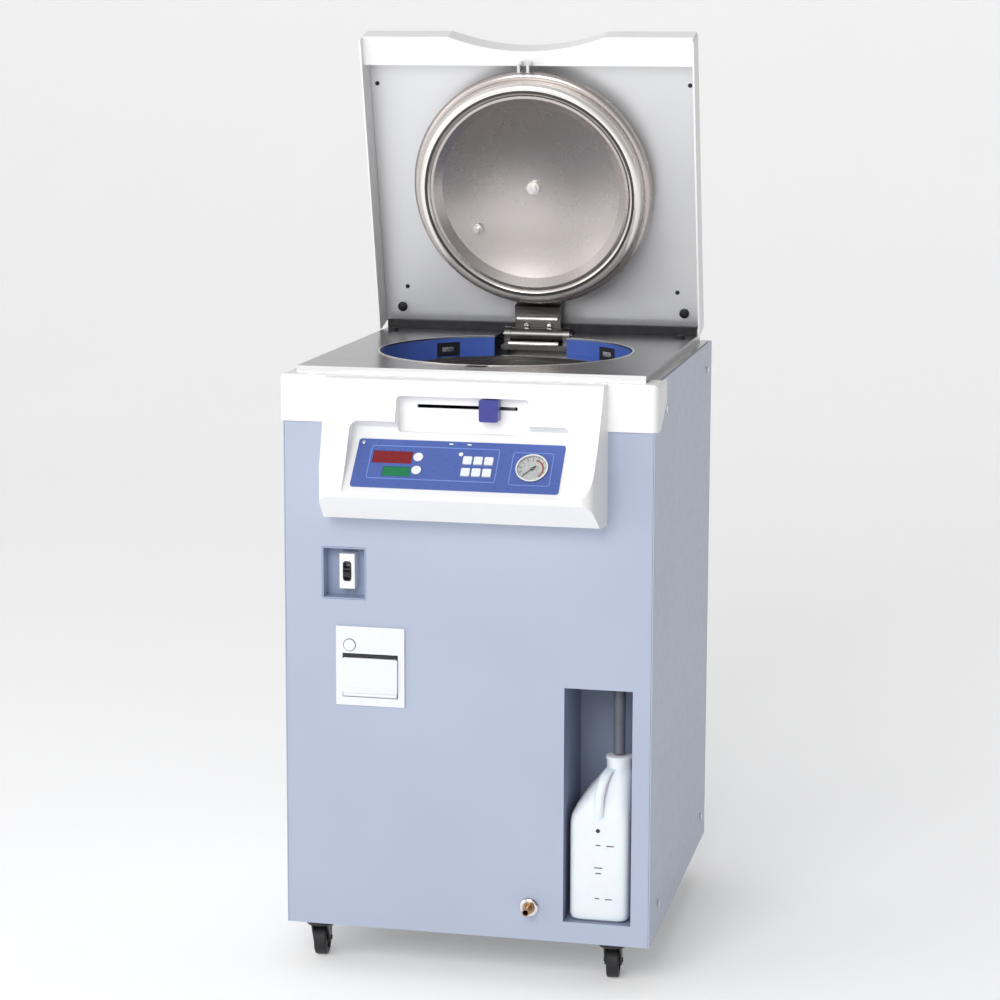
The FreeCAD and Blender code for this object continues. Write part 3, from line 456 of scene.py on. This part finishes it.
def gauge_face():
    """White dial with ticks, a red sector and a bright bezel."""
    place = shifted(on_desk, 104.0, -43.0)
    dial = washer("gauge_dial", 1.3, 20.3, -0.95, -0.6, place)
    piece_from("gauge_dial", dial, "gauge_steel", BODY, DIAL, smooth=False)
    red = washer("gauge_red_sector", 14.2, 16.4, -0.6, -0.5, place, -45, 75)
    piece_from("gauge_red_sector", red, "gauge_steel", BODY, RED_INK, smooth=False)
    first, step, half_width = 225, 27, 1.3
    for tick in range(11):
        middle = first - step * tick
        name = "gauge_tick_%d" % tick
        inner = 14.5 if tick % 5 else 13.0
        mesh = washer(name, inner, 18.6, -0.6, -0.48, place, middle - half_width, middle + half_width)
        piece_from(name, mesh, "gauge_steel", BODY, INK, smooth=False)
    bezel = washer("gauge_bezel", 20.6, 22.4, 3.0, 3.6, place)
    piece_from("gauge_bezel", bezel, "gauge_steel", BODY, DIAL, smooth=False)


# The bottle's outside, section by section upwards, in millimetres: height, left and right side,
# front and back behind the front panel, squareness (2 is an ellipse, 9 nearly a rectangle).
BOTTLE_SECTIONS = (
    (96.4, 152, 228, 13, 117, 6),
    (99.5, 148, 232, 9, 121, 7),
    (106, 147, 233, 8, 122, 9),
    (238, 147, 233, 8, 122, 9),
    (249, 148.5, 232.5, 9.5, 121, 8),
    (262, 155, 232.5, 15, 117, 6),
    (280, 168, 232, 22, 106, 4.5),
    (296, 181, 231.5, 28, 88, 3.2),
    (305, 188, 231, 32, 76, 2.4),
    (310, 192.5, 229.5, 33.5, 70.5, 2),
    (313, 193.5, 228.5, 34.5, 69.5, 2),
    (325, 193.5, 228.5, 34.5, 69.5, 2),
    (325.3, 192.3, 229.7, 33.3, 70.7, 2),
    (329.6, 192.3, 229.7, 33.3, 70.7, 2),
    (330, 193, 229, 34, 70, 2),
)
# The middle of the handle along its run: x, height, distance behind the front panel.
HANDLE_RUN = ((190, 250, 11), (189, 268, 12), (191, 290, 16), (196, 308, 25), (202, 314, 36))
# Level marks on the bottle's front: name, left, right, height.
BOTTLE_MARKS = (
    ("high", 186, 193, 209),
    ("high_line", 201, 212, 208.5),
    ("low", 185, 192, 131),
    ("low_line", 200, 210, 130.5),
    ("middle", 184, 196, 176),
    ("middle_line", 186, 194, 168),
)
BOTTLE_FACE = -8.0  # the bottle's front face, from the front panel
MARK_FACE = -7.8


def rounded_square(x, y, power):
    """Move a point of the unit circle towards the unit square."""
    return tuple(math.copysign(abs(c) ** (2 / power), c) for c in (x, y))


def bottle_skin():
    """Blow-moulded bottle: full body and shoulders that slope back to the neck."""
    rings = []
    for height, left, right, near, far, power in BOTTLE_SECTIONS:
        ring = []
        for c, sn in circle(1.0):
            across, along = rounded_square(c, sn, power)
            x = 0.5 * (left + right) + 0.5 * (right - left) * across
            behind = 0.5 * (near + far) + 0.5 * (far - near) * along
            ring.append(on_front(x, height, -behind))
        rings.append(ring)
    skin = piece_from("bottle_skin", loft("bottle_skin", rings), "bottle_white", "waste_bottle")
    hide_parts("bottle")


def bottle_handle():
    """Flat grip that bridges the front shoulder."""
    half_width, half_height, half_depth = 7.0, 1.5, 5.0
    grip = []
    for x, height, behind in HANDLE_RUN:
        ring = []
        for c, sn in circle(1.0, 24):
            lift = -(behind + half_depth * sn)
            ring.append(on_front(x + half_width * c, height + half_height * sn, lift))
        grip.append(ring)
    handle = piece_from("bottle_handle", loft("bottle_handle", grip), "bottle_white", "waste_bottle")
    handle.modifiers["edges"].split_angle = math.radians(75)
    soften = handle.modifiers.new("soften", "SUBSURF")
    soften.levels = soften.render_levels = 2


def bottle_marks():
    """Plain level marks and a dot printed on the bottle's front."""
    half = 0.7
    for label, x0, x1, z in BOTTLE_MARKS:
        name = "bottle_mark_" + label
        mark = slab(name, x0, x1, z - half, z + half, 0.5, BOTTLE_FACE, MARK_FACE, on_front)
        piece_from(name, mark, "bottle_white", "waste_bottle", INK, smooth=False)
    profile = [(AXIS_R, BOTTLE_FACE), (3.0, BOTTLE_FACE), (3.0, MARK_FACE), (AXIS_R, -7.7)]
    dot = lathe("bottle_dot", profile, shifted(on_front, 189, 230))
    piece_from("bottle_dot", dot, "bottle_white", "waste_bottle", INK)


def breaker_well():
    """Black throat round the breaker's handle."""
    throat = frame_line("breaker_throat", -179.0, -169.0, 574.0, 600.0, 0.35, -16.8, -3.9, on_front)
    piece_from("breaker_throat", throat, "toggle_black", BODY, smooth=False)
    rim = frame_line("breaker_rim", -180.2, -167.8, 572.6, 601.4, 1.6, -4.0, -3.6, on_front)
    piece_from("breaker_rim", rim, "toggle_black", BODY, smooth=False)


def printer_trim():
    """Painted shade at the printer: a dark grey ring for the gap round the paper button and a black bar
    for the paper slot over the door; and the door's lower strip.
    """
    # dark grey ring on the face: painted shade of the gap between the button and its hole
    ring = washer("printer_button_gap_shade", 8.4, 9.3, 2.8, 3.25, shifted(on_front, -169, 482))
    piece_from("printer_button_gap_shade", ring, "printer_white", BODY, MATERIALS["hose_grey"], smooth=False)
    # black bar over the door: painted shade of the paper slot
    bar = slab("paper_slot_shade", -177, -101, 465.0, 468.6, 0.8, 2.6, 3.6, on_front)
    piece_from("paper_slot_shade", bar, "printer_white", BODY, INK, smooth=False)
    strip = slab("door_strip", -176, -102, 413.5, 421.0, 1.0, 6.4, 6.9, on_front)
    piece_from("door_strip", strip, "printer_white", "printer_flap")


def drain_escutcheon():
    """Bright ring pressed round the drain spout."""
    profile = [(8.2, 2.4), (13.0, 2.4), (13.2, 3.2), (12.0, 4.4), (9.4, 4.9), (8.2, 4.6), (8.2, 2.4)]
    mesh = lathe("drain_ring", profile, shifted(on_front, 92.4, 114), closed_ends=False)
    piece_from("drain_ring", mesh, "screw_chrome", BODY)


CHAMBER_Y = 11.0


def hole_trim():
    """Bright rolled edge of the hole in the top plate, open at the hinge."""
    low, high = PLATE_TOP + 0.05, PLATE_TOP + 0.9
    mesh = washer("hole_edge", 186.8, 189.4, low, high, shifted(plan, 0, CHAMBER_Y), 110, 430)
    piece_from("hole_edge", mesh, "ring_bright", BODY, smooth=False)


def inside_wall(turn, radius):
    """x along a round wall about the chamber, y up, lift inwards from it."""
    cos, sin = math.cos(turn), math.sin(turn)

    def place(x, y, lift):
        return (radius * cos - sin * x - cos * lift, CHAMBER_Y + radius * sin + cos * x - sin * lift, y)

    return place


def sensor_plates():
    """Small bright plate on the face of each sensor block."""
    for number, degrees in enumerate((46.0, 131.0)):
        name = "sensor_plate_%d" % number
        place = inside_wall(math.radians(degrees), 184.5)
        mesh = slab(name, -9, 11, 855, 862, 1.0, 0.02, 0.45, place)
        piece_from(name, mesh, "bolt_steel", BODY)


PANEL_FACE = 37.98  # underside of the closed lid's panel over the hinge line; shapes hang from it


def turned(name, profile, place, slot, body):
    piece_from(name, lathe(name, profile, place), slot, body)


def bumpers():
    """Rubber bumpers on the lid's panel and on the plate, and the panel's screws."""
    domed = [(7.5, 0.0), (7.5, 3.0), (6.0, 4.6), (3.0, 5.4), (AXIS_R, 5.6)]
    small = [(3.4, 0.0), (3.4, 0.8), (2.2, 1.6), (AXIS_R, 1.8)]
    for side, name in ((-1, "left"), (1, "right")):
        on_plate = shifted(plan, side * 228, 226, PLATE_TOP + 0.02)
        turned("plate_bumper_" + name, domed, on_plate, "strip_black", BODY)
        on_panel = shifted(on_lid, side * 226, 28, PANEL_FACE, -1)
        turned("lid_bumper_" + name, domed, on_panel, "strip_black", "lid")
        for row, (x, forward) in enumerate(((216, 62), (243, 392))):
            spot = shifted(on_lid, side * x, forward, PANEL_FACE, -1)
            turned("panel_pin_%s_%d" % (name, row), small, spot, "strip_black", "lid")


def rear_top_strip():
    """Folded strip that closes the cabinet's top behind the plate."""
    strip = slab("rear_top_strip", -262.5, 262.5, 291.6, 308.8, 1.0, 862.6, 864.8, plan)
    piece_from("rear_top_strip", strip, "cabinet_paint", BODY, smooth=False)


def round_bar(name, middle, half, radius, body):
    """Bright bar along x with a millimetre of chamfer at each end."""
    x, y, z = middle
    edge = 1
    ends = ((-half, radius - edge), (edge - half, radius), (half - edge, radius), (half, radius - edge))
    rings = [[(x + along, y + a, z + b) for a, b in circle(r, 32)] for along, r in ends]
    piece_from(name, loft(name, rings), "ring_bright", body)


def hinge_trim():
    """Bright bars and cap screws on the hinge."""
    round_bar("hinge_bar_low", (0, 209.5, 863.5), 40, 3.6, BODY)
    round_bar("hinge_bar_high", on_lid(0, 26, 0.6), 33, 3.2, "lid")
    cap = [(4.6, 0.0), (4.6, 3.0), (3.8, 3.8), (AXIS_R, 3.9)]
    arm_underside = 3.98
    for number, x in enumerate((-18, 18)):
        spot = shifted(on_lid, x, 14, arm_underside, -1)
        turned("arm_screw_%d" % number, cap, spot, "screw_chrome", "lid")


DETAILS = (overlay_graphics, gauge_face, bottle_skin, bottle_handle, bottle_marks, breaker_well,
           printer_trim, drain_escutcheon, hole_trim, sensor_plates, bumpers, rear_top_strip, hinge_trim)

for make in DETAILS:
    make()


# ---------------------------------------------------------------- room

def sweep():
    """White paper sweep in metres: the floor curves up into the backdrop behind the machine."""
    half, front, back, bend, top = 14.0, -9.0, 5.0, 3.0, 9.0
    profile = [(front, 0.0), (back, 0.0)]
    steps = 12
    for i in range(1, steps + 1):
        angle = 0.5 * math.pi * i / steps
        profile.append((back + bend * math.sin(angle), bend - bend * math.cos(angle)))
    profile.append((back + bend, top))
    verts = [(x, y, z) for y, z in profile for x in (-half, half)]
    faces = [(2 * i, 2 * i + 1, 2 * i + 3, 2 * i + 2) for i in range(len(profile) - 1)]
    mesh = bpy.data.meshes.new("floor")
    mesh.from_pydata(verts, [], faces)
    piece = bpy.data.objects.new("floor", mesh)
    bpy.context.collection.objects.link(piece)
    for face in mesh.polygons:
        face.use_smooth = True
    s = Shader("floor", (0.96, 0.96, 0.965), 0.8)
    s.tint(s.noise(2, 2), 0.005)
    s.set("Emission Color", (1, 1, 1, 1))
    s.set("Emission Strength", 0.2)
    mesh.materials.append(s.material)


def area_light(name, place, target, size, watts):
    """A white rectangular lamp at place, turned to face the target."""
    data = bpy.data.lights.new(name, "AREA")
    data.shape = "RECTANGLE"
    data.size, data.size_y = size
    data.energy = watts
    lamp = bpy.data.objects.new(name, data)
    bpy.context.collection.objects.link(lamp)
    lamp.location = place
    lamp.rotation_euler = (Vector(target) - Vector(place)).to_track_quat("-Z", "Y").to_euler()


def room():
    """White surroundings, dimmer overhead and to the viewer's right, with two soft lamps."""
    world = bpy.data.worlds.new("studio")
    bpy.context.scene.world = world
    world.use_nodes = True
    nodes, links = world.node_tree.nodes, world.node_tree.links
    place = nodes.new("ShaderNodeTexCoord").outputs["Generated"]
    split = nodes.new("ShaderNodeSeparateXYZ")
    links.new(place, split.inputs[0])
    height = map_range(world.node_tree, split.outputs["Z"], 0.25, 0.8, 1.0, 0.55)
    side = map_range(world.node_tree, split.outputs["X"], -0.1, 0.7, 1.0, 0.22)
    product = nodes.new("ShaderNodeMath")
    product.operation = "MULTIPLY"
    links.new(height, product.inputs[0])
    links.new(side, product.inputs[1])
    links.new(product.outputs["Value"], nodes["Background"].inputs["Strength"])
    nodes["Background"].inputs["Color"].default_value = (1, 1, 1, 1)
    area_light("key", (-0.4, -4.2, 2.8), (0, 0, 0.7), (2.2, 2.0), 92)
    area_light("fill", (-3.0, -2.5, 1.6), (0, 0, 0.8), (2.0, 2.4), 18)


# The camera stands in front of the machine, to its right, about as high as the open lid.
CAMERA_AT = (0.812, -3.742, 1.337)
CAMERA_YAW = 12.34
CAMERA_PITCH = 8.8
CAMERA_ROLL = 0.18
CAMERA_LENS = 94.08
CAMERA_SHIFT = -0.06


def camera():
    """The camera that took the photograph, as it was calibrated from it."""
    data = bpy.data.cameras.new("camera")
    data.lens = CAMERA_LENS
    data.sensor_width = 36
    data.shift_y = CAMERA_SHIFT
    piece = bpy.data.objects.new("camera", data)
    bpy.context.collection.objects.link(piece)
    turn = Matrix.Rotation(math.radians(CAMERA_YAW), 4, "Z")
    tilt = Matrix.Rotation(math.radians(90 - CAMERA_PITCH), 4, "X")
    roll = Matrix.Rotation(math.radians(CAMERA_ROLL), 4, "Z")
    piece.matrix_world = Matrix.Translation(CAMERA_AT) @ turn @ tilt @ roll
    bpy.context.scene.camera = piece


sweep()
room()
camera()
bpy.context.scene.view_settings.view_transform = "Standard"
